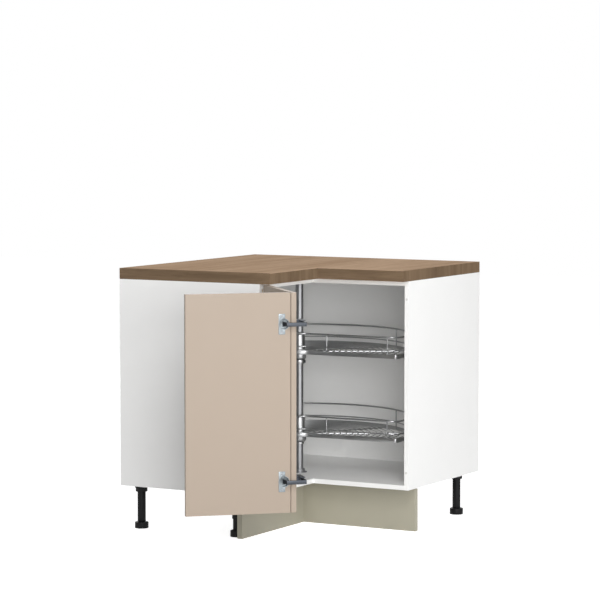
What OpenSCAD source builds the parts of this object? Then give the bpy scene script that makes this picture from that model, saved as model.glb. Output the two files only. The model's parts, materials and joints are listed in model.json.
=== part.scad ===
// L-shaped corner base cabinet on adjustable feet, with a two-leaf folding door
// and two three-quarter wire baskets that turn on one pole.
// Frame: the wall corner at floor level is the origin. The right leg runs along +X,
// the left leg along -Y, and +Z is up. The left leg is the right leg mirrored in the
// diagonal. The doors are drawn closed and then swung open to their rest position.

/* [Cabinet] */
// Length of each leg along its wall
leg_len = 933; // [880:1:990]
// Depth of the carcass from the wall to its front edges
carcass_d = 560; // [540:1:580]
// Height of the carcass without worktop and feet
carcass_h = 720; // [660:1:780]
// Height of the feet, floor to carcass
base_h = 155; // [130:1:180]
// Thickness of side, floor and top panels
panel_t = 16; // [15:1:19]
// Thickness of the back panels
back_t = 8; // [5:1:10]

/* [Worktop] */
// Thickness of the worktop
worktop_t = 38; // [28:1:40]
// Depth of the worktop from the wall
worktop_d = 600; // [595:1:640]
// Radius of the worktop's front edges
arris_r = 2.5; // [1:0.5:4]

/* [Plinth] */
// Gap between the plinth boards and the carcass above them
plinth_gap = 7; // [3:0.5:40]
// Thickness of the plinth boards
plinth_t = 19; // [12:1:22]
// Distance of the plinth's face from the wall
plinth_face = 475; // [460:1:500]
// Distance of the left board's end from the leg's end
plinth_left_end = 26; // [0:1:40]
// Distance of the right board's end from the leg's end
plinth_right_end = 16; // [0:1:40]

/* [Feet] */
// Distance of the outer feet from the leg's end
foot_end_inset = 67; // [50:1:90]
// Distance of the rear feet from the wall
foot_wall_inset = 44; // [36:1:60]
// Gap between the front feet's tubes and the plinth boards
foot_plinth_gap = 10; // [6:0.5:14]
// Outer radius of a foot's tube
tube_r = 14.5; // [12:0.5:16]
// Wall of a foot's tube
tube_wall = 3; // [2:0.5:3]
// Radius of a foot's pad
pad_r = 24; // [20:0.5:30]
// Height of a foot's pad
pad_h = 22; // [8:0.5:30]
// Clear height between the pad and the tube
foot_lift = 1; // [0.5:0.5:20]

/* [Doors] */
// Thickness of the door leaves
door_t = 18; // [16:1:19]
// Gap between a closed leaf and the carcass front
door_gap = 2; // [1.5:0.5:3]
// Distance of the doors' upper edge and ends inside the carcass's outline
reveal = 2.5; // [2:0.5:4]
// Distance of the doors' lower edge above the carcass's underside
reveal_low = 0; // [-2:0.5:4]
// Gap between the two leaves at the corner
leaf_gap = 1.5; // [1.5:0.5:2]
// Opening angle of the first leaf as shown
rest_open = 136; // [120:1:138]
// Distance of the hinges from the ends of the leaves
hinge_inset = 102; // [90:1:140]
// Distance of the hinge cups' centre from the leaf's edge
cup_set = 22.5; // [21:0.5:24]

/* [Pole and baskets] */
// Distance of the pole's centre from both walls
pole_set = 435; // [430:1:440]
// Radius of the pole
pole_r = 13.5; // [12.5:0.5:15]
// Wall of the pole
pole_wall = 1.5; // [1:0.5:2]
// Radius of the baskets
basket_r = 395; // [360:1:400]
// Height of the lower basket's rim band above the cabinet floor
lower_basket_h = 128; // [90:1:160]
// Distance between the two baskets
basket_pitch = 294; // [250:1:320]
// Height of the top rail above the bottom of a basket
rail_h = 77; // [60:1:90]
// Height of the lower rail above the bottom of a basket
rail_low_h = 31; // [24:1:40]
// Radius of the top rail's wire
rail_r = 3; // [2.5:0.25:3]
// Radius of the lower rail's and the posts' wire
wire_r = 2.2; // [2:0.1:2.5]
// Height of the rim band
band_h = 14; // [12:1:16]
// Thickness of the rim band
band_t = 2; // [1.5:0.5:3]
// Radius of the basket's outer corners
corner_r = 36; // [25:1:45]
// Radius of the cut-out's inner corner in front of the pole
notch_r = 44; // [40:1:50]
// Distance of the cut-out's edges beyond the pole's centre
cut_set = 5; // [4:0.5:8]
// Distance between the round floor wires
floor_pitch = 21; // [18:0.5:30]
// Radius of the round floor wires
floor_wire_r = 1.5; // [1.25:0.25:2]
// Radius of the spokes under the floor wires
spoke_r = 2.5; // [2:0.25:3]

/* [Hidden] */
$fn = 48;

clear = 0.05;        // running clearance on a radius
eps = 1;             // overshoot of a cutter
top_z = base_h + carcass_h;
floor_z = base_h + panel_t;
plinth_h = base_h - plinth_gap;
ceiling_z = top_z - panel_t;
worktop_top_z = top_z + worktop_t;

// dowels between the sides and the floor and top panels
dowel_r = 4;
dowel_len = 30;
dowel_in_side = 12;
dowel_inset = 60;
dowel_insets = [dowel_inset, carcass_d / 2, carcass_d - dowel_inset];
dowel_zs = [base_h + panel_t / 2, top_z - panel_t / 2];

// screws that hold the worktop from below
worktop_screw_r = 2;
worktop_screw_head_r = 4.5;
worktop_screw_head_h = 2.5;
worktop_screw_bite = 20;
worktop_screw_end = 120;
worktop_screw_edge = 80;
worktop_screw_at = [
    [worktop_screw_end, -worktop_screw_end], [leg_len - worktop_screw_end, -worktop_screw_edge],
    [leg_len - worktop_screw_end, worktop_screw_edge - carcass_d],
    [carcass_d - worktop_screw_edge, -carcass_d / 2]
];

batten_w = 30;

// feet: one under each end, the wall corner and the inner corner
pad_clear = 0.5;     // gap between the front feet's pads and the boards
foot_back = max(foot_plinth_gap + tube_r, pad_r + pad_clear);
foot_front = plinth_face - plinth_t - foot_back;
foot_end = leg_len - foot_end_inset;
foot_at = [
    [foot_wall_inset, -foot_end], [foot_front, -foot_end], [foot_wall_inset, -foot_wall_inset],
    [foot_front, -foot_front], [foot_end, -foot_wall_inset], [foot_end, -foot_front]
];
tube_z = pad_h + foot_lift;
spindle_r = tube_r - tube_wall - clear;
spindle_in_tube = 75;
spindle_top = tube_z + spindle_in_tube;
socket_floor_t = 4;
socket_h = 26;
socket_step = 3;     // the socket's lower part is this much slimmer
socket_lip_h = 12;
clip_h = 16;
clip_drop = 12;      // the clip's underside below the board's middle
clip_z = plinth_h / 2 - clip_drop;
clip_t = 3;

// closed door outlines
door_in = carcass_d + door_gap;
door_out = door_in + door_t;
door_low = base_h + reveal_low;
door_high = top_z - reveal;
door_end = leg_len - reveal;
leaf_2_x = door_out + leaf_gap;
door_edge_r = 1.5;
hinge_zs = [door_low + hinge_inset, door_high - hinge_inset];

// hinge cup, shared by both pairs of hinges
cup_r = 17.4;
cup_hole_r = 17.5;
cup_depth = 12.5;
cup_wall = 1.4;
wing_w = 22;
wing_h = 67;
wing_back = 7;       // the wing's middle lies further from the leaf's edge than the cup's
wing_t = 1.5;
cup_ring_w = 1.2;
cup_ring_t = 1;
cup_screw_z = 26;
screw_r = 1.8;
screw_hole_r = 1.85;
screw_bite = 11;
screw_head_r = 3.4;
screw_head_h = 1.4;
post_w = 6;
pin_r = 2;
pin_half = 10;

// opening hinges: arm pivot, cup pivot and link lengths; the leaf turns about swing_at.
// Each place counts from the carcass's front or the leaf's inner face, and from the leg's end.
swing_ahead = 16;
swing_from_end = 9.7;
arm_behind = 15.3;
arm_from_end = 42.8;
cup_pivot_in_leaf = 3.8;
cup_pivot_from_end = 32.7;
swing_at = [carcass_d + swing_ahead, swing_from_end - leg_len];
arm_pivot = [carcass_d - arm_behind, arm_from_end - leg_len];
cup_pivot = [door_in + cup_pivot_in_leaf, cup_pivot_from_end - leg_len];
link_in_len = 26;
link_out_len = 45.5;
link_t = 5;
link_h = 5;
fork_t = 3;
boss_r = 5;
open_pivot_clear = 1.8;
// the outer link leans into the cup at first, then bends over the cup's rim and the leaf's edge
outer_t = 2.6;
outer_straight = 12;
outer_lean = 2;
outer_rise = 8.5;
outer_top_from = 21;
outer_top_to = 31;
arm_len = 56;
arm_top = 31;
arm_half = 9.5;
plate_t = 3;
plate_half = 25;
plate_screw_z = 16;

// folding hinges between the leaves: bracket pivot, cup pivot and the bent link
fold_pivot_set = 28;
fold_cup_across = 21;
fold_cup_in_leaf = 3;
fold_pivot = [door_in - fold_pivot_set, -(door_in + fold_pivot_set)];
fold_cup_pivot = [leaf_2_x + fold_cup_across, -(door_in + fold_cup_in_leaf)];
link_rise = 25;
bracket_reach = 36;
bracket_len = 40;
bracket_set = 20;
cheek_t = 2.4;
link_half = 6.4;
bent_t = 5;

// pole fittings and clamp collars
base_flange_r = 27;
base_flange_t = 3;
base_collar_r = 19;
base_collar_h = 13;
hub_r = 19.5;         // sleeve
hub_over_rail = 2;
hub_rise = rail_h + hub_over_rail;
hub_cone_h = 10;
hub_drop = 20;
hub_foot_r = 24;      // below the rim band
hub_foot_taper = 7;
hub_neck_r = 21;      // between the rim band and the pole
hub_gap = 1;
hub_flange_r = 30;    // on top of the floor wires
hub_flange_z = band_h + hub_gap / 2;
hub_flange_t = 3;
collar_r = 19;
collar_h = 13;
stop_r = 16;          // ring under the lower hub
stop_h = 7;
knob_r = 4.5;
knob_len = 2.5;
knob_angle = 30;
weld = 0.3;          // depth to which crossing wires sink into each other
rail_joint = 0.02;   // seam where a rail's or band's round part meets its front part
basket_zs = [floor_z + lower_basket_h, floor_z + lower_basket_h + basket_pitch];
spoke_z = band_h - 2 * floor_wire_r - spoke_r;
spoke_step = 30;
spoke_edge = 8;      // angle of the first and the last spoke from the cut-out's edges
floor_wire_z = spoke_z + spoke_r + floor_wire_r - weld;
floor_wire_first = 3 * floor_pitch;
rail_path_r = basket_r - rail_r;
low_rail_inset = rail_r - wire_r;
band_inset = rail_r - band_t / 2;
band_in_r = rail_path_r - rail_r;
band_corner_r = corner_r / 3;
corner_x = sqrt(pow(rail_path_r - corner_r, 2) - pow(corner_r - cut_set, 2));
post_angles = [54.5, 135, 215.5];
post_offsets = [110, corner_x - 4];

// ---------- small helpers ----------
function turn(p, a) = [p.x * cos(a) - p.y * sin(a), p.x * sin(a) + p.y * cos(a)];
function open_by(p, a) = swing_at + turn(p - swing_at, -a);
function bearing(v) = atan2(v.y, v.x);
// third corner of a triangle on the side b-d with sides l1 and l2
function elbow(b, d, l1, l2) =
    let (w = norm(d - b), a = (l1 * l1 - l2 * l2 + w * w) / (2 * w), u = (d - b) / w)
    b + a * u + sqrt(l1 * l1 - a * a) * [-u.y, u.x];

elbow_closed = elbow(arm_pivot, cup_pivot, link_in_len, link_out_len);
cup_pivot_open = open_by(cup_pivot, rest_open);
elbow_open = elbow(arm_pivot, cup_pivot_open, link_in_len, link_out_len);

module to_left_leg() {
    mirror([1, 1, 0]) children();
}

module at_rest() {
    translate(swing_at) rotate(-rest_open) translate(-swing_at) children();
}

module l_plan(len, d, start) {
    polygon([
        [start, -start], [len, -start], [len, -d],
        [d, -d], [d, -len], [start, -len]
    ]);
}

module rod(x, y, z, r, h) {
    translate([x, y, z]) cylinder(r = r, h = h);
}

module bar(from, to, w) {
    translate(from) rotate(bearing(to - from))
        translate([0, -w / 2]) square([norm(to - from), w]);
}

// ---------- worktop and carcass ----------
module arris_cutter(len) {
    rotate([90, 0, 90]) linear_extrude(len)
        difference() {
            translate([-eps, -eps]) square(arris_r + eps);
            translate([arris_r, arris_r]) circle(arris_r);
        }
}

module worktop_edge_cuts() {
    run = leg_len - worktop_d + arris_r + eps;
    translate([worktop_d - arris_r, -worktop_d, top_z]) arris_cutter(run);
    translate([worktop_d - arris_r, -worktop_d, worktop_top_z]) mirror([0, 0, 1]) arris_cutter(run);
}

module worktop() {
    color([0.60, 0.50, 0.41]) difference() {
        translate([0, 0, top_z]) linear_extrude(worktop_t) l_plan(leg_len, worktop_d, 0);
        worktop_edge_cuts();
        to_left_leg() worktop_edge_cuts();
        worktop_screw_holes();
    }
}

module worktop_screw_holes() {
    for (p = worktop_screw_at) {
        rod(p.x, p.y, ceiling_z - eps, worktop_screw_r + clear, panel_t + worktop_screw_bite + 2 * eps);
    }
}

module worktop_screws() {
    color([0.75, 0.75, 0.75]) for (p = worktop_screw_at) {
        rod(p.x, p.y, ceiling_z - worktop_screw_head_h, worktop_screw_head_r, worktop_screw_head_h);
        rod(p.x, p.y, ceiling_z - worktop_screw_head_h, worktop_screw_r,
            worktop_screw_head_h + panel_t + worktop_screw_bite);
    }
}

// dowels of the right side, with their radius given for the pieces or their holes
module dowel_row(r, extra) {
    for (y = dowel_insets, z = dowel_zs)
        translate([leg_len - panel_t - dowel_len + dowel_in_side - extra, -y, z])
            rotate([0, 90, 0]) cylinder(r = r, h = dowel_len + 2 * extra);
}

module dowel_holes() {
    dowel_row(dowel_r, 0);
    to_left_leg() dowel_row(dowel_r, 0);
}

module dowels() {
    color([0.85, 0.72, 0.5]) {
        dowel_row(dowel_r - clear, 0);
        to_left_leg() dowel_row(dowel_r - clear, 0);
    }
}

module deck(z) {
    translate([0, 0, z]) linear_extrude(panel_t) l_plan(leg_len - panel_t, carcass_d, back_t);
}

module top_panel() {
    color([0.9, 0.9, 0.89]) difference() {
        deck(ceiling_z);
        dowel_holes();
        worktop_screw_holes();
    }
}

module floor_panel() {
    color([0.93, 0.93, 0.92]) difference() {
        deck(base_h);
        dowel_holes();
    }
}

module side_blank() {
    translate([leg_len - panel_t, -carcass_d, base_h]) cube([panel_t, carcass_d, carcass_h]);
}

module side_right() {
    color([0.95, 0.95, 0.95]) difference() {
        side_blank();
        dowel_holes();
    }
}

module side_left() {
    color([0.88, 0.88, 0.88]) difference() {
        to_left_leg() side_blank();
        dowel_holes();
        for (z = hinge_zs, dz = [-plate_screw_z, plate_screw_z])
            translate([plate_screw_x, -(leg_len - panel_t) - screw_bite, z + dz])
                rotate([-90, 0, 0]) cylinder(r = screw_hole_r, h = screw_bite + eps);
    }
}

module back_left() {
    color([0.86, 0.86, 0.85])
        translate([0, -(leg_len - panel_t), base_h]) cube([back_t, leg_len - panel_t, carcass_h]);
}

module back_right() {
    color([0.86, 0.86, 0.85])
        translate([back_t, -back_t, base_h]) cube([leg_len - panel_t - back_t, back_t, carcass_h]);
}

module corner_batten() {
    color([0.85, 0.85, 0.84])
        translate([back_t, -back_t - batten_w, floor_z]) cube([batten_w, batten_w, carcass_h - 2 * panel_t]);
}

// ---------- plinth and feet ----------
module plinth_left() {
    color([0.66, 0.65, 0.58])
        translate([plinth_face - plinth_t, plinth_left_end - leg_len, 0])
            cube([plinth_t, leg_len - plinth_left_end - plinth_face + plinth_t, plinth_h]);
}

module plinth_right() {
    color([0.56, 0.55, 0.49])
        translate([plinth_face, -plinth_face, 0])
            cube([leg_len - plinth_right_end - plinth_face, plinth_t, plinth_h]);
}

// a ring round the foot's tube with an arm that reaches the plinth board behind it
module clip(p, to_board) {
    difference() {
        union() {
            rod(p.x, p.y, clip_z, tube_r + clip_t, clip_h);
            translate([p.x, p.y, clip_z]) rotate(to_board)
                translate([0, -tube_r, 0]) cube([foot_back, 2 * tube_r, clip_h]);
        }
        rod(p.x, p.y, clip_z - eps, tube_r + clear, clip_h + 2 * eps);
    }
}

module plinth_clips() {
    color([0.1, 0.1, 0.1]) {
        clip(foot_at[1], 0);
        clip(foot_at[5], -90);
    }
}

module foot_sockets() {
    color([0.1, 0.1, 0.1]) for (p = foot_at) difference() {
        union() {
            rod(p.x, p.y, base_h - socket_lip_h, pad_r, socket_lip_h);
            rod(p.x, p.y, base_h - socket_h, pad_r - socket_step, socket_h);
        }
        rod(p.x, p.y, base_h - socket_h - eps, tube_r + clear, socket_h + eps - socket_floor_t);
    }
}

module foot_tubes() {
    color([0.08, 0.08, 0.08]) for (p = foot_at) difference() {
        rod(p.x, p.y, tube_z, tube_r, base_h - socket_floor_t - tube_z);
        rod(p.x, p.y, tube_z - eps, tube_r - tube_wall, base_h);
    }
}

module foot(p) {
    color([0.06, 0.06, 0.06]) {
        rod(p.x, p.y, 0, pad_r, pad_h);
        rod(p.x, p.y, pad_h / 2, spindle_r, spindle_top - pad_h / 2);
    }
}

// ---------- pole ----------
module at_pole(z) {
    translate([pole_set, -pole_set, z]) children();
}

module pole() {
    color([0.65, 0.66, 0.68]) at_pole(floor_z + base_flange_t) difference() {
        h = ceiling_z - floor_z - 2 * base_flange_t;
        cylinder(r = pole_r, h = h);
        translate([0, 0, -eps]) cylinder(r = pole_r - pole_wall, h = h + 2 * eps);
    }
}

module pole_fitting() {
    difference() {
        union() {
            cylinder(r = base_flange_r, h = base_flange_t);
            cylinder(r = base_collar_r, h = base_collar_h);
        }
        translate([0, 0, base_flange_t]) cylinder(r = pole_r + clear, h = base_collar_h);
    }
}

module pole_base() {
    color([0.6, 0.61, 0.63]) at_pole(floor_z) pole_fitting();
}

module pole_head() {
    color([0.6, 0.61, 0.63]) at_pole(ceiling_z) mirror([0, 0, 1]) pole_fitting();
}

// a ring fixed to the pole under a basket's hub by a screw from its side
module collar(z, r, h) {
    color([0.35, 0.36, 0.37]) at_pole(z - hub_drop - h) difference() {
        cylinder(r = r, h = h - clear);
        translate([0, 0, -eps]) cylinder(r = pole_r + clear, h = h + 2 * eps);
        translate([0, 0, h / 2]) rotate(knob_angle) rotate([0, 90, 0])
            cylinder(r = pin_r + clear, h = r + eps);
    }
}

module collar_lower() {
    collar(basket_zs[0], stop_r, stop_h);
}

module collar_upper() {
    collar(basket_zs[1], collar_r, collar_h);
}

module side_screw(z) {
    at_pole(z) rotate(knob_angle) rotate([0, 90, 0]) translate([0, 0, pole_r]) children();
}

module collar_screws() {
    color([0.2, 0.2, 0.2]) {
        side_screw(basket_zs[0] - hub_drop - stop_h / 2) cylinder(r = pin_r, h = stop_r - pole_r);
        side_screw(basket_zs[1] - hub_drop - collar_h / 2) {
            cylinder(r = pin_r, h = collar_r - pole_r + knob_len);
            translate([0, 0, collar_r - pole_r]) cylinder(r = knob_r, h = knob_len);
        }
    }
}

// ---------- baskets ----------
// the outline of a basket, three quarters of a disc, swept with a small section
module outline_arc(c, r, from, to) {
    translate(c) rotate(from) rotate_extrude(angle = to - from) translate([r, 0]) children();
}

// all lines of the outline move inwards by inset and stay parallel
module outline_half(corner, inset) {
    // straight edge beyond the pole and the rounded outer corner
    x = sqrt(pow(rail_path_r - corner, 2) - pow(corner - cut_set, 2));
    start = atan2(corner - cut_set, x);
    translate([notch_r + cut_set, inset - cut_set, 0]) rotate([90, 0, 90])
        linear_extrude(x - notch_r - cut_set) children();
    outline_arc([x, corner - cut_set, 0], corner - inset, -90, start) children();
}

module outline(corner, inset, joint = 0) {
    x = sqrt(pow(rail_path_r - corner, 2) - pow(corner - cut_set, 2));
    start = atan2(corner - cut_set, x) + joint / rail_path_r * 180 / PI;
    outline_arc([0, 0, 0], rail_path_r - inset, start, 270 - start) children();
    outline_half(corner, inset) children();
    to_left_leg() outline_half(corner, inset) children();
    outline_arc([notch_r + cut_set, -notch_r - cut_set, 0], notch_r + inset, 90, 180) children();
}

module rails(z) {
    color([0.7, 0.71, 0.72]) {
        at_pole(z + rail_h - rail_r) outline(corner_r, 0, rail_joint) circle(rail_r);
        at_pole(z + rail_low_h - wire_r) outline(corner_r, low_rail_inset, rail_joint) circle(wire_r);
    }
}

module band(z) {
    color([0.45, 0.46, 0.47])
        at_pole(z) outline(band_corner_r, band_inset, rail_joint)
            translate([-band_t / 2, 0]) square([band_t, band_h]);
}

module post(p) {
    translate([p.x, p.y, 0]) cylinder(r = wire_r, h = rail_h - rail_r);
}

module posts(z) {
    inner = band_in_r - wire_r + weld;
    side = cut_set - rail_r - wire_r + weld;
    color([0.7, 0.71, 0.72]) at_pole(z) {
        for (a = post_angles) post(inner * [cos(a), sin(a)]);
        for (x = post_offsets) {
            post([x, -side]);
            post([side, -x]);
        }
    }
}

// a quarter of a basket's floor: round wires on top of the spokes
module grille(z, quarter) {
    first = quarter == 0 ? spoke_edge : 0;
    color([0.62, 0.63, 0.64]) at_pole(z) rotate(90 * quarter) {
        for (r = [floor_wire_first : floor_pitch : band_in_r - 3 * floor_wire_r])
            translate([0, 0, floor_wire_z]) rotate_extrude(angle = 90)
                translate([r, 0]) circle(floor_wire_r);
        spoke(first);
        spoke(spoke_step);
        spoke(2 * spoke_step);
        if (quarter == 2) spoke(90 - spoke_edge);
    }
}

module spoke(a) {
    rotate(a) translate([hub_neck_r - weld, 0, spoke_z]) rotate([0, 90, 0])
        cylinder(r = spoke_r, h = band_in_r - hub_neck_r + 2 * weld);
}

// a turned hub: foot, neck inside the rim band, flange on the floor wires and a long sleeve
module hub(z) {
    cone_z = hub_rise - hub_cone_h;
    color([0.5, 0.51, 0.52]) at_pole(z) difference() {
        union() {
            translate([0, 0, -hub_drop])
                cylinder(r1 = hub_foot_r - hub_foot_taper, r2 = hub_foot_r, h = hub_foot_taper);
            translate([0, 0, hub_foot_taper - hub_drop])
                cylinder(r = hub_foot_r, h = hub_drop - hub_foot_taper - hub_gap);
            translate([0, 0, -hub_gap]) cylinder(r = hub_neck_r, h = hub_flange_z + hub_gap);
            translate([0, 0, hub_flange_z]) cylinder(r = hub_flange_r, h = hub_flange_t);
            translate([0, 0, hub_flange_z]) cylinder(r = hub_r, h = cone_z - hub_flange_z);
            translate([0, 0, cone_z]) cylinder(r1 = hub_r, r2 = pole_r + hub_gap, h = hub_cone_h);
        }
        translate([0, 0, -hub_drop - eps])
            cylinder(r = pole_r + clear, h = hub_drop + hub_rise + 2 * eps);
    }
}

// ---------- hinge parts ----------
// a cup hinge's fixed half in its leaf: the leaf's inner face is y = 0 with the leaf
// below it, and x runs towards the leaf's hinge edge
module cup(pin) {
    floor_y = -cup_depth + cup_wall;
    difference() {
        union() {
            rotate([90, 0, 0]) cylinder(r = cup_r, h = cup_depth);
            translate([-wing_w / 2 - wing_back, 0, -wing_h / 2]) cube([wing_w, wing_t, wing_h]);
            rotate([-90, 0, 0]) cylinder(r = cup_r + cup_ring_w, h = cup_ring_t);
        }
        translate([0, floor_y, 0]) rotate([-90, 0, 0]) cylinder(r = cup_r - cup_wall, h = cup_depth + eps);
        for (dz = [-cup_screw_z, cup_screw_z]) translate([-wing_back, -eps, dz])
            rotate([-90, 0, 0]) cylinder(r = screw_hole_r, h = wing_t + 2 * eps);
    }
    for (side = [-1, 1]) difference() {
        translate([pin.x - post_w / 2, floor_y, side * pin_half - (side < 0 ? 0 : cup_wall)])
            cube([post_w, -floor_y - 0.5, cup_wall]);
        translate([pin.x, pin.y, -2 * pin_half]) cylinder(r = pin_r, h = 4 * pin_half);
    }
    translate([pin.x, pin.y, -pin_half]) cylinder(r = pin_r, h = 2 * pin_half);
}

module cup_hole() {
    translate([0, eps, 0]) rotate([90, 0, 0]) cylinder(r = cup_hole_r, h = cup_depth + clear + eps);
    for (dz = [-cup_screw_z, cup_screw_z]) translate([-wing_back, eps, dz])
        rotate([90, 0, 0]) cylinder(r = screw_hole_r, h = screw_bite + eps);
}

module wing_screws() {
    for (dz = [-cup_screw_z, cup_screw_z]) translate([-wing_back, 0, dz]) {
        translate([0, wing_t, 0]) rotate([-90, 0, 0]) cylinder(r = screw_head_r, h = screw_head_h);
        translate([0, wing_t + screw_head_h, 0]) rotate([90, 0, 0])
            cylinder(r = screw_r, h = screw_head_h + wing_t + screw_bite);
    }
}

// places of the cups on the closed leaves
cup_1_y = -(door_end - cup_set);
cup_2_x = leaf_2_x + cup_set;
cup_1_pin = [-(cup_pivot.y - cup_1_y), door_in - cup_pivot.x];
cup_2_pin = [cup_2_x - fold_cup_pivot.x, fold_cup_pivot.y + door_in];

module on_leaf_1(z) {
    translate([door_in, cup_1_y, z]) rotate(90) mirror([1, 0, 0]) children();
}

module on_leaf_2(z) {
    translate([cup_2_x, -door_in, z]) mirror([1, 0, 0]) children();
}

// ---------- opening hinges ----------
plate_x = arm_pivot.x - arm_len + 8;
plate_len = 36;
plate_screw_x = plate_x + plate_len / 2;
side_face_y = -(leg_len - panel_t);

module hinge_plates() {
    color([0.55, 0.56, 0.57]) for (z = hinge_zs) {
        difference() {
            translate([plate_x, side_face_y, z - plate_half]) cube([plate_len, plate_t, 2 * plate_half]);
            for (dz = [-plate_screw_z, plate_screw_z])
                translate([plate_screw_x, side_face_y - eps, z + dz])
                    rotate([-90, 0, 0]) cylinder(r = screw_hole_r, h = plate_t + 2 * eps);
        }
        for (dz = [-plate_screw_z, plate_screw_z]) translate([plate_screw_x, side_face_y, z + dz]) {
            translate([0, plate_t, 0]) rotate([-90, 0, 0]) cylinder(r = screw_head_r, h = screw_head_h);
            translate([0, plate_t, 0]) rotate([90, 0, 0]) cylinder(r = screw_r, h = plate_t + screw_bite);
        }
    }
}

// the arm is a box on the plate with two cheeks that hold the first link's pin
module hinge_arms() {
    back_x = arm_pivot.x - arm_len;
    body_len = arm_len - link_in_len * 0.62;
    cheek_in = link_h / 2 + fork_t + 1;
    color([0.6, 0.61, 0.62]) for (z = hinge_zs) {
        translate([back_x, side_face_y + plate_t, z - arm_half])
            cube([body_len, arm_top - plate_t, 2 * arm_half]);
        for (side = [-1, 1]) difference() {
            translate([back_x + body_len, side_face_y + plate_t + 6, z + (side < 0 ? -arm_half : cheek_in)])
                cube([arm_pivot.x + boss_r - back_x - body_len, arm_top - plate_t - 6, arm_half - cheek_in]);
            rod(arm_pivot.x, arm_pivot.y, z - 2 * arm_half, pin_r, 4 * arm_half);
        }
    }
}

module hinge_pins() {
    color([0.8, 0.8, 0.8]) for (z = hinge_zs)
        rod(arm_pivot.x, arm_pivot.y, z - arm_half, pin_r, 2 * arm_half);
}

module hinge_links_inner() {
    color([0.7, 0.7, 0.71]) for (z = hinge_zs) {
        difference() {
            union() {
                translate([0, 0, z - link_h / 2]) linear_extrude(link_h) bar(arm_pivot, elbow_open, link_t);
                rod(arm_pivot.x, arm_pivot.y, z - link_h / 2, boss_r, link_h);
                rod(elbow_open.x, elbow_open.y, z - link_h / 2, boss_r, link_h);
            }
            rod(arm_pivot.x, arm_pivot.y, z - link_h, pin_r + clear, 2 * link_h);
        }
        rod(elbow_open.x, elbow_open.y, z - link_h / 2 - fork_t, pin_r, link_h + 2 * fork_t);
    }
}

module hinge_links_outer() {
    hole_r = pin_r + open_pivot_clear;
    lift = link_h / 2 + clear;
    along = (elbow_open - cup_pivot_open) / norm(elbow_open - cup_pivot_open);
    up = [along.y, -along.x];
    path = [
        cup_pivot_open, cup_pivot_open + outer_straight * along - outer_lean * up,
        cup_pivot_open + outer_top_from * along + outer_rise * up,
        cup_pivot_open + outer_top_to * along + outer_rise * up, elbow_open
    ];
    color([0.66, 0.66, 0.67]) for (z = hinge_zs) difference() {
        union() {
            for (z0 = [z - lift - fork_t, z + lift]) translate([0, 0, z0]) {
                linear_extrude(fork_t) {
                    for (i = [1 : len(path) - 1]) bar(path[i - 1], path[i], outer_t);
                    for (i = [1 : len(path) - 2]) translate(path[i]) circle(outer_t / 2);
                }
                rod(elbow_open.x, elbow_open.y, 0, hole_r + 1.6, fork_t);
            }
            rod(cup_pivot_open.x, cup_pivot_open.y, z - lift - fork_t, boss_r - 0.8, 2 * (lift + fork_t));
        }
        rod(cup_pivot_open.x, cup_pivot_open.y, z - pin_half, pin_r + clear, 2 * pin_half);
        rod(elbow_open.x, elbow_open.y, z - pin_half, hole_r, 2 * pin_half);
    }
}

// ---------- doors ----------
module rounded_leaf(x0, y0, x1, y1) {
    r = door_edge_r;
    translate([0, 0, door_low]) linear_extrude(door_high - door_low) {
        translate([x0 + r, y0]) square([x1 - x0 - 2 * r, y1 - y0]);
        translate([x0, y0 + r]) square([x1 - x0, y1 - y0 - 2 * r]);
        for (x = [x0 + r, x1 - r], y = [y0 + r, y1 - r]) translate([x, y]) circle(r);
    }
}

bracket_x = door_in - bracket_reach;
bracket_y = fold_pivot.y - bracket_set - bracket_len;

module bracket_screw_places() {
    for (z = hinge_zs, dz = [-plate_screw_z, plate_screw_z])
        translate([door_in, bracket_y + bracket_len / 2, z + dz]) rotate([0, 90, 0]) children();
}

module door_1() {
    color([0.78, 0.72, 0.64]) at_rest() difference() {
        rounded_leaf(door_in, -door_end, door_out, -door_in);
        for (z = hinge_zs) on_leaf_1(z) cup_hole();
        bracket_screw_places() translate([0, 0, -eps]) cylinder(r = screw_hole_r, h = screw_bite + eps);
    }
}

module door_2() {
    color([0.78, 0.72, 0.64]) at_rest() difference() {
        rounded_leaf(leaf_2_x, -door_out, door_end, -door_in);
        for (z = hinge_zs) on_leaf_2(z) cup_hole();
    }
}

module hinge_cups() {
    color([0.72, 0.72, 0.73]) at_rest() for (z = hinge_zs) on_leaf_1(z) cup(cup_1_pin);
}

module fold_cups() {
    color([0.72, 0.72, 0.73]) at_rest() for (z = hinge_zs) on_leaf_2(z) cup(cup_2_pin);
}

module door_1_screws() {
    color([0.8, 0.8, 0.8]) at_rest() {
        for (z = hinge_zs) on_leaf_1(z) wing_screws();
        bracket_screw_places() {
            translate([0, 0, -plate_t]) mirror([0, 0, 1]) cylinder(r = screw_head_r, h = screw_head_h);
            translate([0, 0, -plate_t]) cylinder(r = screw_r, h = plate_t + screw_bite);
        }
    }
}

module door_2_screws() {
    color([0.8, 0.8, 0.8]) at_rest() for (z = hinge_zs) on_leaf_2(z) wing_screws();
}

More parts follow.
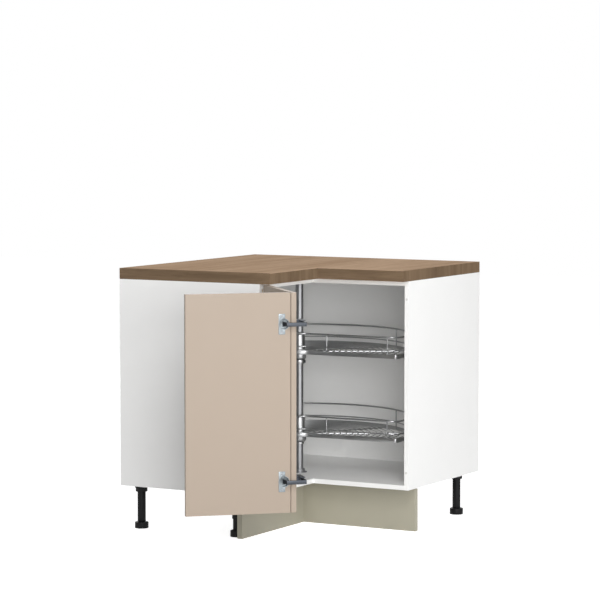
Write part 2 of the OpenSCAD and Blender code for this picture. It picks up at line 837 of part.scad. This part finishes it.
// ---------- folding hinges ----------
module fold_brackets() {
    inner = link_half + 0.3;
    color([0.5, 0.51, 0.52]) at_rest() for (z = hinge_zs) {
        difference() {
            translate([door_in - plate_t, bracket_y, z - plate_half])
                cube([plate_t, bracket_len, 2 * plate_half]);
            for (dz = [-plate_screw_z, plate_screw_z])
                translate([door_in - plate_t - eps, bracket_y + bracket_len / 2, z + dz])
                    rotate([0, 90, 0]) cylinder(r = screw_hole_r, h = plate_t + 2 * eps);
        }
        translate([bracket_x, bracket_y, z - arm_half])
            cube([bracket_reach - plate_t, bracket_len, 2 * arm_half]);
        for (z0 = [z - arm_half, z + inner]) difference() {
            translate([bracket_x, bracket_y + bracket_len, z0])
                cube([2 * (fold_pivot.x - bracket_x), bracket_set + boss_r, arm_half - inner]);
            rod(fold_pivot.x, fold_pivot.y, z0 - eps, pin_r, 2 * arm_half);
        }
    }
}

module fold_pins() {
    color([0.8, 0.8, 0.8]) at_rest() for (z = hinge_zs)
        rod(fold_pivot.x, fold_pivot.y, z - arm_half, pin_r, 2 * arm_half);
}

// the bent link runs from the bracket round the first leaf's end into the second leaf's cup
module fold_links() {
    high_y = -door_in + link_rise;
    a = [fold_pivot.x + bent_t / 2, high_y];
    b = [fold_cup_pivot.x - 3, high_y];
    color([0.62, 0.63, 0.64]) at_rest() for (z = hinge_zs) difference() {
        translate([0, 0, z - link_half]) union() {
            linear_extrude(2 * link_half) {
                bar(fold_pivot, a, bent_t);
                bar(a, b, bent_t);
                bar(b, fold_cup_pivot, bent_t);
                for (p = [a, b]) translate(p) circle(bent_t / 2);
            }
            rod(fold_pivot.x, fold_pivot.y, 0, boss_r, 2 * link_half);
            rod(fold_cup_pivot.x, fold_cup_pivot.y, 0, boss_r - 1, 2 * link_half);
        }
        rod(fold_pivot.x, fold_pivot.y, z - pin_half, pin_r + clear, 2 * pin_half);
        rod(fold_cup_pivot.x, fold_cup_pivot.y, z - pin_half, pin_r + clear, 2 * pin_half);
    }
}

// two soft dots on the right side's front edge, where the second leaf closes
module door_bumpers() {
    inset = 60;
    color([0.9, 0.9, 0.9]) for (z = [door_low + inset, door_high - inset])
        translate([leg_len - panel_t / 2, -carcass_d, z]) rotate([90, 0, 0])
            cylinder(r = 4, h = door_gap - 0.3);
}

worktop();
top_panel();
floor_panel();
side_left();
side_right();
back_left();
back_right();
corner_batten();
dowels();
worktop_screws();
plinth_left();
plinth_right();
plinth_clips();
foot_sockets();
foot_tubes();
foot(foot_at[0]);  // foot_1
foot(foot_at[1]);  // foot_2
foot(foot_at[2]);  // foot_3
foot(foot_at[3]);  // foot_4
foot(foot_at[4]);  // foot_5
foot(foot_at[5]);  // foot_6
pole();
pole_base();
pole_head();
collar_lower();
collar_upper();
collar_screws();
hinge_plates();
hinge_arms();
hinge_pins();
hinge_links_inner();
hinge_links_outer();
door_1();
hinge_cups();
door_1_screws();
fold_brackets();
fold_pins();
fold_links();
door_2();
fold_cups();
door_2_screws();
door_bumpers();
hub(basket_zs[0]);  // hub_lower
rails(basket_zs[0]);  // rails_lower
posts(basket_zs[0]);  // posts_lower
band(basket_zs[0]);  // band_lower
grille(basket_zs[0], 0);  // grille_lower_1
grille(basket_zs[0], 1);  // grille_lower_2
grille(basket_zs[0], 2);  // grille_lower_3
hub(basket_zs[1]);  // hub_upper
rails(basket_zs[1]);  // rails_upper
posts(basket_zs[1]);  // posts_upper
band(basket_zs[1]);  // band_upper
grille(basket_zs[1], 0);  // grille_upper_1
grille(basket_zs[1], 1);  // grille_upper_2
grille(basket_zs[1], 2);  // grille_upper_3
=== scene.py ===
"""The corner carousel cabinet's looks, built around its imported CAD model."""

import json
from math import atan2, cos, pi, radians, sin, sqrt

import bmesh
import bpy
from mathutils import Matrix, Vector


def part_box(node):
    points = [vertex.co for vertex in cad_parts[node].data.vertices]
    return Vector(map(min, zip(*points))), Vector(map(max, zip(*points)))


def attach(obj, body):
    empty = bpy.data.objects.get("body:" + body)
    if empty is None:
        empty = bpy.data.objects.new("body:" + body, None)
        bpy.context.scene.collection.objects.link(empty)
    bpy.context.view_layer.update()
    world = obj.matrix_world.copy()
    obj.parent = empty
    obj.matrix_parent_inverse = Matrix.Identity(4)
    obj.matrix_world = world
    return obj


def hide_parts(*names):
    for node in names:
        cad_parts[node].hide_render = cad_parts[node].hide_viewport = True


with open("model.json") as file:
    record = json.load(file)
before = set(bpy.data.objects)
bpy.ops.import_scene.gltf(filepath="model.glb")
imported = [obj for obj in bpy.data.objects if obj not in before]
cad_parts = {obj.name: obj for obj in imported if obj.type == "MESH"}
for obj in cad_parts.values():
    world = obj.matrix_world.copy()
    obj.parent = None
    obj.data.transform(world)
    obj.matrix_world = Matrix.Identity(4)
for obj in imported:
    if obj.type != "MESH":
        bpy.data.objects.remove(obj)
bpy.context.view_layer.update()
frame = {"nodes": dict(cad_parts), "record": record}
nodes = frame["nodes"]
scene = bpy.context.scene

MM = 0.001


# ---------- places taken from the frame ----------
def middle(node):
    low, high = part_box(node)
    return (low + high) / 2


POLE = middle("pole")
BASKET_R = POLE.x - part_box("rails_lower")[0].x
RAIL_R = 3 * MM
WIRE_R = 2.2 * MM
RAIL_PATH_R = BASKET_R - RAIL_R
LOW_RAIL_INSET = RAIL_R - WIRE_R
RAIL_LOW_H = 31 * MM
BAND_H = 14 * MM
BAND_T = 2 * MM
BAND_INSET = RAIL_R - BAND_T / 2
BAND_IN_R = RAIL_PATH_R - RAIL_R
CORNER_R = 36 * MM
BAND_CORNER_R = CORNER_R / 3
NOTCH_R = 44 * MM
CUT_SET = 5 * MM
WELD = 0.3 * MM
# posts: degrees round the rim, and places along the cut-out's straight edges
POST_ANGLES = (54.5, 135, 215.5)
POST_ALONG = 110 * MM
POST_BEFORE_CORNER = 4 * MM
FLOOR_PITCH = 21 * MM
FIRST_FLOOR_RING = 3
FLOOR_WIRE_R = 1.5 * MM
SPOKE_R = 2.5 * MM
HUB_NECK_R = 21 * MM
SPOKE_Z = BAND_H - 2 * FLOOR_WIRE_R - SPOKE_R
FLOOR_WIRE_Z = SPOKE_Z + SPOKE_R + FLOOR_WIRE_R - WELD
SPOKE_ANGLES = [8, 30, 60, 90, 120, 150, 180, 210, 240, 262]


# ---------- node materials ----------
def srgb(r, g, b):
    """Eight-bit picture values as a linear colour."""
    def linear(v):
        v /= 255
        return v / 12.92 if v <= 0.04045 else ((v + 0.055) / 1.055) ** 2.4
    return (linear(r), linear(g), linear(b), 1)


class Nodes:
    """A short way to write a node tree."""

    def __init__(self, name):
        self.material = bpy.data.materials.new(name)
        self.material.use_nodes = True
        self.tree = self.material.node_tree
        self.bsdf = self.tree.nodes["Principled BSDF"]
        self.place = self.add("ShaderNodeTexCoord").outputs["Object"]

    def add(self, kind, **settings):
        node = self.tree.nodes.new(kind)
        for key, value in settings.items():
            setattr(node, key, value)
        return node

    def link(self, a, b):
        self.tree.links.new(a, b)

    def stretched(self, scale, turn=0.0):
        mapping = self.add("ShaderNodeMapping")
        mapping.inputs["Scale"].default_value = scale
        mapping.inputs["Rotation"].default_value = (0, 0, turn)
        self.link(self.place, mapping.inputs["Vector"])
        return mapping.outputs["Vector"]

    def noise(self, vector, scale, detail=4.0, roughness=0.5, distortion=0.0):
        node = self.add("ShaderNodeTexNoise")
        for key, value in (("Scale", scale), ("Detail", detail), ("Roughness", roughness),
                           ("Distortion", distortion)):
            node.inputs[key].default_value = value
        self.link(vector, node.inputs["Vector"])
        return node.outputs["Fac"]

    def ramp(self, value, stops):
        node = self.add("ShaderNodeValToRGB")
        ramp = node.color_ramp
        while len(ramp.elements) < len(stops):
            ramp.elements.new(0.5)
        for element, (place, color) in zip(ramp.elements, stops):
            element.position = place
            element.color = color if len(color) == 4 else (*color, 1)
        self.link(value, node.inputs["Fac"])
        return node.outputs["Color"]

    def span(self, value, low, high, out_low, out_high):
        node = self.add("ShaderNodeMapRange")
        for key, number in (("From Min", low), ("From Max", high),
                            ("To Min", out_low), ("To Max", out_high)):
            node.inputs[key].default_value = number
        self.link(value, node.inputs["Value"])
        return node.outputs["Result"]

    def math(self, operation, a, b):
        node = self.add("ShaderNodeMath", operation=operation)
        for socket, value in zip(node.inputs, (a, b)):
            if isinstance(value, (int, float)):
                socket.default_value = value
            else:
                self.link(value, socket)
        return node.outputs[0]

    def mix(self, factor, a, b, blend="MIX"):
        node = self.add("ShaderNodeMix", data_type="RGBA", blend_type=blend)
        for socket, value in ((node.inputs[0], factor), (node.inputs[6], a), (node.inputs[7], b)):
            if isinstance(value, (int, float, tuple)):
                socket.default_value = value
            else:
                self.link(value, socket)
        return node.outputs[2]

    def bump(self, height, strength, distance=0.0005):
        node = self.add("ShaderNodeBump")
        node.inputs["Strength"].default_value = strength
        node.inputs["Distance"].default_value = distance
        self.link(height, node.inputs["Height"])
        self.link(node.outputs["Normal"], self.bsdf.inputs["Normal"])

    def set(self, **values):
        for key, value in values.items():
            socket = self.bsdf.inputs[key.replace("_", " ")]
            if isinstance(value, (int, float, tuple)):
                socket.default_value = value
            else:
                self.link(value, socket)
        return self.material


def mean_of(a, b):
    return tuple((x + y) / 2 for x, y in zip(a, b))


def board_look(name, color, mottle=0.03, roughness=0.45, pearl=0.15):
    """Coated board: an even colour with a faint mottle and a fine pearl in the surface."""
    n = Nodes(name)
    cloud = n.noise(n.place, 9, 3)
    shade = n.span(cloud, 0.3, 0.7, 1 - mottle, 1 + mottle)
    tint = n.mix(1.0, color, shade, "MULTIPLY")
    grain = n.noise(n.place, 900, 2, 0.6)
    n.bump(grain, pearl, 0.0002)
    return n.set(Base_Color=tint, Specular_IOR_Level=0.4,
                 Roughness=n.span(cloud, 0.3, 0.7, roughness - 0.04, roughness + 0.04))


def walnut_look(name, along, light, dark):
    """Walnut-look laminate: slow bands, soft streaks and fine pores, stretched along one axis."""
    n = Nodes(name)
    squeeze = [1.0, 1.0, 1.0]
    squeeze["xyz".index(along)] = 0.06
    grain_place = n.stretched(tuple(squeeze))
    slow = n.noise(grain_place, 9, 2, 0.5, 0.4)
    streak = n.noise(grain_place, 42, 5, 0.6, 0.7)
    fine = n.noise(grain_place, 230, 3, 0.65)
    tone = n.math("ADD", n.math("MULTIPLY", slow, 0.5), n.math("MULTIPLY", streak, 0.5))
    bright = tuple(min(1, 1.12 * v) for v in light[:3])
    stops = [(0.36, dark), (0.47, mean_of(light, dark)), (0.56, light), (0.68, bright)]
    color = n.ramp(tone, stops)
    pores = n.span(fine, 0.36, 0.5, 0.86, 1.0)
    color = n.mix(1.0, color, pores, "MULTIPLY")
    n.bump(fine, 0.2, 0.0003)
    return n.set(Base_Color=color, Roughness=n.span(streak, 0.3, 0.7, 0.66, 0.56),
                 Specular_IOR_Level=0.0)


def metal_look(name, color, roughness, brushed=(1, 1, 1), variation=0.06, edge=1.0):
    """Metal with fine drawing marks and slight smudges; edge below 1 darkens its grazing tint."""
    n = Nodes(name)
    marks = n.noise(n.stretched(brushed), 700, 3, 0.6)
    smudge = n.noise(n.place, 22, 4)
    smudged = n.span(smudge, 0.3, 0.7, roughness - variation / 2, roughness + variation)
    rough = n.math("ADD", smudged, n.span(marks, 0.3, 0.7, -0.02, 0.02))
    shade = n.span(smudge, 0.3, 0.7, 0.94, 1.05)
    n.bump(marks, 0.08, 0.0001)
    return n.set(Base_Color=n.mix(1.0, color, shade, "MULTIPLY"), Metallic=1.0, Roughness=rough,
                 Specular_Tint=(edge, edge, edge, 1))


def plastic_look(name, color, roughness=0.42):
    """Moulded plastic with a fine spark-eroded surface."""
    n = Nodes(name)
    erosion = n.noise(n.place, 1300, 3, 0.7)
    cloud = n.noise(n.place, 30, 3)
    n.bump(erosion, 0.2, 0.0002)
    lighter = tuple(1.3 * v for v in color[:3]) + (1,)
    return n.set(Base_Color=n.mix(n.span(cloud, 0.3, 0.7, 0, 1), color, lighter),
                 Roughness=n.span(cloud, 0.3, 0.7, roughness - 0.05, roughness + 0.08),
                 Specular_IOR_Level=0.15)


# the worktop's walnut as lit and shaded copies of one laminate: the top's lighter tones are painted
# top light and painted sheen, the darker edge tones are painted shade; the grain and pores are the
# laminate's own
TOP_TONES_PAINTED_LIGHT = srgb(192, 164, 138), srgb(172, 144, 118)
EDGE_TONES_PAINTED_SHADE = srgb(126, 106, 85), srgb(105, 87, 69)
looks = {
    "carcass_board": board_look("white_melamine", srgb(240, 240, 239), 0.008),
    "timber": board_look("plain_timber", srgb(208, 178, 136), 0.08, 0.6, 0.4),
    "plinth_board": board_look("olive_grey_foil", srgb(166, 162, 146), 0.025, 0.5),
    "door_board": board_look("sand_lacquer", srgb(156, 142, 128), 0.01, 0.55, 0.2),
    "black_plastic": plastic_look("black_plastic", srgb(14, 14, 15), 0.5),
    "pole_steel": metal_look("pole_steel", srgb(150, 151, 153), 0.46, (1, 1, 0.02), edge=0.6),
    "wire_steel": metal_look("wire_chrome", srgb(166, 167, 168), 0.3),
    "band_steel": metal_look("band_steel", srgb(166, 167, 168), 0.36, (0.05, 0.05, 1)),
    "hinge_steel": metal_look("hinge_nickel", srgb(124, 130, 133), 0.42, edge=0.6),
    "screw_steel": metal_look("screw_zinc", srgb(128, 130, 133), 0.4),
    "clear_rubber": board_look("clear_bumper", srgb(214, 214, 210), 0.01, 0.35),
}


def dress(obj, look):
    obj.data.materials.clear()
    obj.data.materials.append(look)


slot_of = {s["node"]: s["material_slot"] for s in frame["record"]["subparts"]}
for node_name, node_object in nodes.items():
    if slot_of[node_name] in looks:
        dress(node_object, looks[slot_of[node_name]])

# the worktop's grain: along the depth on top, along the front on the fronts, upright on the ends;
# the top gets the lighter tones with painted top light and painted sheen, the fronts and ends the
# darker tones with painted shade
worktop = nodes["worktop"]
worktop.data.materials.clear()
for axis_name, tones in (("y", TOP_TONES_PAINTED_LIGHT), ("x", EDGE_TONES_PAINTED_SHADE), ("z", EDGE_TONES_PAINTED_SHADE)):
    worktop.data.materials.append(walnut_look(f"walnut_{axis_name}", axis_name, *tones))
for face in worktop.data.polygons:
    normal = face.normal
    face.material_index = 0 if abs(normal.z) > 0.7 else (1 if abs(normal.y) > 0.7 else 2)


# ---------- mesh helpers ----------
def piece(name, body, slot, replaced, build, sharp=35):
    """A new object from a bmesh that build() fills, riding on a body in place of CAD nodes."""
    mesh = bpy.data.meshes.new(name)
    work = bmesh.new()
    build(work)
    bmesh.ops.recalc_face_normals(work, faces=work.faces)
    work.to_mesh(mesh)
    work.free()
    for face in mesh.polygons:
        face.use_smooth = True
    mesh.set_sharp_from_angle(angle=radians(sharp))
    obj = bpy.data.objects.new(name, mesh)
    scene.collection.objects.link(obj)
    dress(obj, looks[slot])
    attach(obj, body)
    if replaced:
        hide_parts(*replaced)
    return obj


def skin(work, rings, closed):
    """Faces between rings of as many points each; open ends are capped."""
    made = [[work.verts.new(p) for p in ring] for ring in rings]
    count = len(made[0])
    pairs = list(zip(made, made[1:] + made[:1])) if closed else list(zip(made, made[1:]))
    for one, two in pairs:
        for i in range(count):
            j = (i + 1) % count
            work.faces.new((one[i], one[j], two[j], two[i]))
    if not closed:
        work.faces.new(made[0])
        work.faces.new(made[-1])


def tube(work, points, radius, closed=False, sides=12):
    """A round wire along the points."""
    points = [Vector(p) for p in points]
    count = len(points)
    rings = []
    side = None
    for i, p in enumerate(points):
        ahead = points[(i + 1) % count] if closed or i < count - 1 else p
        behind = points[i - 1] if closed or i > 0 else p
        along = (ahead - behind).normalized()
        if side is None:
            start = Vector((0, 0, 1)) if abs(along.z) < 0.9 else Vector((1, 0, 0))
            side = start.cross(along).normalized()
        side = (side - side.dot(along) * along).normalized()
        up = along.cross(side)
        rings.append([p + radius * (cos(a) * side + sin(a) * up)
                      for a in (2 * pi * k / sides for k in range(sides))])
    skin(work, rings, closed)


def flat_strip(work, path, z_low, z_high, thick, edge=0.5 * MM):
    """An upright strip of metal with rounded edges along a closed level path."""
    half = thick / 2
    profile = [(-half, edge), (-half + edge * 0.3, edge * 0.3), (-half + edge, 0), (half - edge, 0),
               (half - edge * 0.3, edge * 0.3), (half, edge)]
    height = z_high - z_low
    profile += [(x, height - z) for x, z in reversed(profile)]
    count = len(path)
    rings = []
    for i, p in enumerate(path):
        along = (Vector(path[(i + 1) % count]) - Vector(path[i - 1])).normalized()
        out = Vector((along.y, -along.x, 0))
        foot = Vector((p[0], p[1], z_low))
        rings.append([foot + x * out + Vector((0, 0, z)) for x, z in profile])
    skin(work, rings, True)


def lathe(work, profile, at=(0, 0, 0), turn=None, sides=48):
    """A turned body: profile is a list of (radius, height), open or ending on the axis."""
    place = Matrix.Translation(at) @ (turn.to_4x4() if turn else Matrix.Identity(4))
    rings = []
    for r, z in profile:
        if r < 1e-7:
            rings.append([work.verts.new(place @ Vector((0, 0, z)))])
        else:
            rings.append([work.verts.new(place @ Vector((r * cos(a), r * sin(a), z)))
                          for a in (2 * pi * k / sides for k in range(sides))])
    for one, two in zip(rings, rings[1:]):
        for i in range(sides):
            j = (i + 1) % sides
            corners = [one[i % len(one)], one[j % len(one)], two[j % len(two)], two[i % len(two)]]
            unique = list(dict.fromkeys(corners))
            if len(unique) > 2:
                work.faces.new(unique)


# ---------- baskets ----------
def arc(center, radius, start, end, step=3):
    """Points from start to end degrees, both included."""
    count = max(2, round(abs(end - start) / step))
    return [(center[0] + radius * cos(radians(start + (end - start) * i / count)),
             center[1] + radius * sin(radians(start + (end - start) * i / count)))
            for i in range(count + 1)]


def basket_outline(corner, inset):
    """Three quarters of a disc with rounded corners and a cut-out in front of the pole."""
    reach = sqrt((RAIL_PATH_R - corner) ** 2 - (corner - CUT_SET) ** 2)
    start = atan2(corner - CUT_SET, reach) * 180 / pi
    notch = NOTCH_R + CUT_SET
    points = arc((0, 0), RAIL_PATH_R - inset, start, 270 - start, 2)
    points += arc((CUT_SET - corner, -reach), corner - inset, 270 - start, 360, 6)[1:]
    points += arc((notch, -notch), NOTCH_R + inset, 180, 90, 5)
    points += arc((reach, corner - CUT_SET), corner - inset, -90, start, 6)[:-1]
    return [(POLE.x + x, POLE.y + y) for x, y in points]


def at_pole(radius, degrees, z):
    """The point at a radius, an angle and a height about the pole."""
    angle = radians(degrees)
    return Vector((POLE.x + radius * cos(angle), POLE.y + radius * sin(angle), z))


def build_basket(which):
    body = f"basket_{which}"
    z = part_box(f"band_{which}")[0].z
    top_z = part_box(f"rails_{which}")[1].z - RAIL_R
    low_z = z + RAIL_LOW_H - WIRE_R

    def rails(work):
        tube(work, [(x, y, top_z) for x, y in basket_outline(CORNER_R, 0)], RAIL_R, True, 16)
        low_path = basket_outline(CORNER_R, LOW_RAIL_INSET)
        tube(work, [(x, y, low_z) for x, y in low_path], WIRE_R, True, 12)

    def band(work):
        flat_strip(work, basket_outline(BAND_CORNER_R, BAND_INSET), z, z + BAND_H, BAND_T)

    def posts(work):
        inner = BAND_IN_R - WIRE_R + WELD
        side = CUT_SET - RAIL_R - WIRE_R + WELD
        reach = sqrt((RAIL_PATH_R - CORNER_R) ** 2 - (CORNER_R - CUT_SET) ** 2)
        places = [(inner * cos(radians(a)), inner * sin(radians(a))) for a in POST_ANGLES]
        for x in (POST_ALONG, reach - POST_BEFORE_CORNER):
            places += [(x, -side), (side, -x)]
        for x, y in places:
            x, y = POLE.x + x, POLE.y + y
            tube(work, [(x, y, z), (x, y, top_z)], WIRE_R)

    def grille(first, last, spokes):
        def build(work):
            r = FIRST_FLOOR_RING * FLOOR_PITCH
            while r <= BAND_IN_R - 3 * FLOOR_WIRE_R:
                count = max(8, round((last - first) / 3))
                tube(work, [at_pole(r, first + (last - first) * i / count, z + FLOOR_WIRE_Z)
                            for i in range(count + 1)], FLOOR_WIRE_R, sides=8)
                r += FLOOR_PITCH
            for a in spokes:
                tube(work, [at_pole(HUB_NECK_R - WELD, a, z + SPOKE_Z),
                            at_pole(BAND_IN_R + WELD, a, z + SPOKE_Z)], SPOKE_R, sides=10)
        return build

    piece(f"basket_rails_{which}", body, "wire_steel", [f"rails_{which}"], rails, 60)
    piece(f"basket_band_{which}", body, "band_steel", [f"band_{which}"], band)
    piece(f"basket_posts_{which}", body, "wire_steel", [f"posts_{which}"], posts)
    for i in range(3):
        part = [a for a in SPOKE_ANGLES if 90 * i <= a < 90 * (i + 1)]
        piece(f"basket_floor_{which}_{i + 1}", body, "wire_steel", [f"grille_{which}_{i + 1}"],
              grille(90 * i, 90 * (i + 1), part))


for which in ("lower", "upper"):
    build_basket(which)


# ---------- pole fittings, hubs and collars ----------
def ring_of(node, body, profile, at_z, flip=False):
    """A turned piece on the pole in place of a node; heights of its profile count from at_z."""
    turn = Matrix.Rotation(pi, 3, "X") if flip else None
    points = [(r * MM, z * MM) for r, z in profile]
    piece(f"turned_{node}", body, slot_of[node], [node],
          lambda work: lathe(work, points, (POLE.x, POLE.y, at_z), turn, 64))


# profiles of radius and height in millimetres
BORE = 13.55
# flange on the panel, then the collar round the pole
FITTING = [(BORE, 3), (BORE, 0.01), (26.4, 0), (27, 0.6), (27, 2.2), (26.2, 3), (20, 3), (19, 4),
           (19, 12.2), (18.2, 13), (BORE + 0.8, 13), (BORE, 12.2), (BORE, 3)]
# foot, neck inside the rim band, flange on the floor wires, sleeve and cone
HUB = [(BORE, -20), (16.4, -20), (17.3, -19.7), (23.6, -13.4), (24, -12.6), (24, -1.6), (23.4, -1),
       (21, -1), (21, 14.5),
       (29.4, 14.5), (30, 15.1), (30, 16.9), (29.4, 17.5),
       (20.3, 17.5), (19.5, 18.3), (19.5, 68.4), (19.3, 69.4), (15, 78.2), (14.2, 79),
       (BORE, 79), (BORE, -20)]
ring_of("pole_base", "carcass", FITTING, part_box("pole_base")[0].z)
ring_of("pole_head", "carcass", FITTING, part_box("pole_head")[1].z, True)
for which in ("lower", "upper"):
    ring_of(f"hub_{which}", f"basket_{which}", HUB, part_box(f"band_{which}")[0].z)


# ---------- small parts with eased edges ----------
def eased(node, body, edge=0.4 * MM, sharp_from=30):
    """The node's own form with its sharp edges eased, as pressed and moulded parts have them."""
    source = nodes[node]

    def build(work):
        work.from_mesh(source.data)
        bmesh.ops.remove_doubles(work, verts=work.verts, dist=1e-6)
        bmesh.ops.dissolve_limit(work, angle_limit=radians(0.5), verts=work.verts,
                                 edges=work.edges)
        edges = [e for e in work.edges
                 if len(e.link_faces) == 2 and e.calc_face_angle(0) > radians(sharp_from)]
        bmesh.ops.bevel(work, geom=edges, offset=edge, segments=2, profile=0.5, affect="EDGES",
                        clamp_overlap=True)

    return piece(f"eased_{node}", body, slot_of[node], [node], build)


LINK_LOOK = metal_look("link_nickel", srgb(66, 69, 74), 0.4, edge=0.8)
body_of = {n: b for b, names in frame["record"]["behaviour"]["bodies"].items() for n in names}
EASED = ("collar_lower", "collar_upper", "collar_screws", "foot_tubes", "foot_sockets",
         "plinth_clips", "hinge_plates", "hinge_arms", "hinge_links_inner", "hinge_links_outer",
         "hinge_cups", "fold_brackets", "fold_links", "fold_cups", "door_1_screws",
         "door_2_screws")
for node_name in EASED:
    obj = eased(node_name, body_of[node_name])
    if node_name in ("fold_links", "fold_brackets"):
        dress(obj, LINK_LOOK)

# ---------- feet ----------
PAD_H = 22 * MM
SPINDLE_R = 11.4 * MM
THREAD_DEPTH = 0.7 * MM
THREAD_PITCH = 2 * MM
PAD_EDGE = 1.5 * MM


def build_feet():
    for i in range(1, 7):
        low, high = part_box(f"foot_{i}")
        at = ((low.x + high.x) / 2, (low.y + high.y) / 2, 0)
        pad_r = (high.x - low.x) / 2
        thread_from = PAD_H + THREAD_PITCH
        thread = []
        for t in range(int((high.z - thread_from) / THREAD_PITCH)):
            z = thread_from + t * THREAD_PITCH
            thread += [(SPINDLE_R - THREAD_DEPTH, z), (SPINDLE_R, z + 0.35 * THREAD_PITCH),
                       (SPINDLE_R, z + 0.55 * THREAD_PITCH)]
        profile = [(0, 0), (pad_r - PAD_EDGE, 0), (pad_r - 0.3 * PAD_EDGE, 0.3 * PAD_EDGE),
                   (pad_r, PAD_EDGE), (pad_r, PAD_H - PAD_EDGE),
                   (pad_r - 0.3 * PAD_EDGE, PAD_H - 0.3 * PAD_EDGE),
                   (pad_r - PAD_EDGE, PAD_H), (SPINDLE_R, PAD_H)]
        profile += thread + [(SPINDLE_R - THREAD_DEPTH, high.z), (0, high.z)]
        piece(f"levelling_foot_{i}", f"foot_{i}", "black_plastic", [f"foot_{i}"],
              lambda work: lathe(work, profile, at))


build_feet()

# ---------- camera ----------
camera_data = bpy.data.cameras.new("camera")
camera_data.sensor_width = 36
PICTURE_PX = 600
FOCAL_PX = 2717.5
camera_data.lens = FOCAL_PX / PICTURE_PX * camera_data.sensor_width
camera_data.clip_end = 100
camera = bpy.data.objects.new("camera", camera_data)
scene.collection.objects.link(camera)
YAW, PITCH = radians(29.207), radians(4.290)
camera.location = (5.1245, -8.8195, 1.5056)
forward = Vector((-sin(YAW) * cos(PITCH), cos(YAW) * cos(PITCH), -sin(PITCH)))
camera.rotation_euler = forward.to_track_quat("-Z", "Y").to_euler()
scene.camera = camera

# ---------- stage and light ----------
scene.view_settings.view_transform = "Standard"
scene.view_settings.look = "None"


def seen_directly(tree):
    """1 for rays that show the background itself: from the camera, or through metal and glass."""
    path = tree.nodes.new("ShaderNodeLightPath")
    total = path.outputs["Is Camera Ray"]
    for ray in ("Is Glossy Ray", "Is Transmission Ray"):
        larger = tree.nodes.new("ShaderNodeMath")
        larger.operation = "MAXIMUM"
        tree.links.new(total, larger.inputs[0])
        tree.links.new(path.outputs[ray], larger.inputs[1])
        total = larger.outputs[0]
    return total


FLOOR_HALF = 12
FLOOR_GLOW = 0.8
floor_material = bpy.data.materials.new("pale_floor")
floor_material.use_nodes = True
tree = floor_material.node_tree
matt = tree.nodes["Principled BSDF"]
cloud = tree.nodes.new("ShaderNodeTexNoise")
cloud.inputs["Scale"].default_value = 0.6
tone = tree.nodes.new("ShaderNodeMapRange")
tone.inputs["To Min"].default_value = 0.80
tone.inputs["To Max"].default_value = 0.84
tree.links.new(cloud.outputs["Fac"], tone.inputs["Value"])
tree.links.new(tone.outputs["Result"], matt.inputs["Base Color"])
matt.inputs["Roughness"].default_value = 0.9
matt.inputs["Specular IOR Level"].default_value = 0
matt.inputs["Emission Color"].default_value = (1, 1, 1, 1)
glow = tree.nodes.new("ShaderNodeMath")
glow.operation = "MULTIPLY"
glow.inputs[1].default_value = FLOOR_GLOW
tree.links.new(seen_directly(tree), glow.inputs[0])
tree.links.new(glow.outputs[0], matt.inputs["Emission Strength"])

floor_mesh = bpy.data.meshes.new("floor")
floor_corners = [(x * FLOOR_HALF, y * FLOOR_HALF, 0)
                 for x, y in ((-1, -1), (1, -1), (1, 1), (-1, 1))]
floor_mesh.from_pydata(floor_corners, [], [(0, 1, 2, 3)])
floor = bpy.data.objects.new("floor", floor_mesh)
scene.collection.objects.link(floor)
floor_mesh.materials.append(floor_material)

WORLD_LIGHT = 0.25
world = bpy.data.worlds.new("studio")
scene.world = world
world.use_nodes = True
tree = world.node_tree
tree.nodes.clear()
world_out = tree.nodes.new("ShaderNodeOutputWorld")
background = tree.nodes.new("ShaderNodeBackground")
level = tree.nodes.new("ShaderNodeMapRange")
level.inputs["To Min"].default_value = WORLD_LIGHT
level.inputs["To Max"].default_value = 1.0
tree.links.new(seen_directly(tree), level.inputs["Value"])
background.inputs["Color"].default_value = (1, 1, 1, 1)
tree.links.new(level.outputs["Result"], background.inputs["Strength"])
tree.links.new(background.outputs[0], world_out.inputs["Surface"])


def soft_light(name, at, aim, size, power):
    data = bpy.data.lights.new(name, "AREA")
    data.shape = "RECTANGLE"
    data.size, data.size_y = size
    data.energy = power
    light = bpy.data.objects.new(name, data)
    scene.collection.objects.link(light)
    light.location = at
    light.rotation_euler = (Vector(aim) - Vector(at)).to_track_quat("-Z", "Y").to_euler()
    return light


CENTRE = (0.5, -0.5, 0.5)
LIGHTS = (
    ("top_light", (0.5, -0.6, 3.8), (3.0, 3.0), 30),
    ("key_light", (3.2, -4.4, 3.3), (2.0, 2.0), 108),
    ("camera_light", (3.6, -4.4, 1.1), (2.4, 1.6), 102),
    ("right_light", (4.8, -1.4, 0.6), (2.4, 1.2), 34),
    ("back_light", (-3.4, 3.4, 2.6), (3.0, 3.0), 110),
)
for light_name, light_at, light_size, light_power in LIGHTS:
    soft_light(light_name, light_at, CENTRE, light_size, light_power)
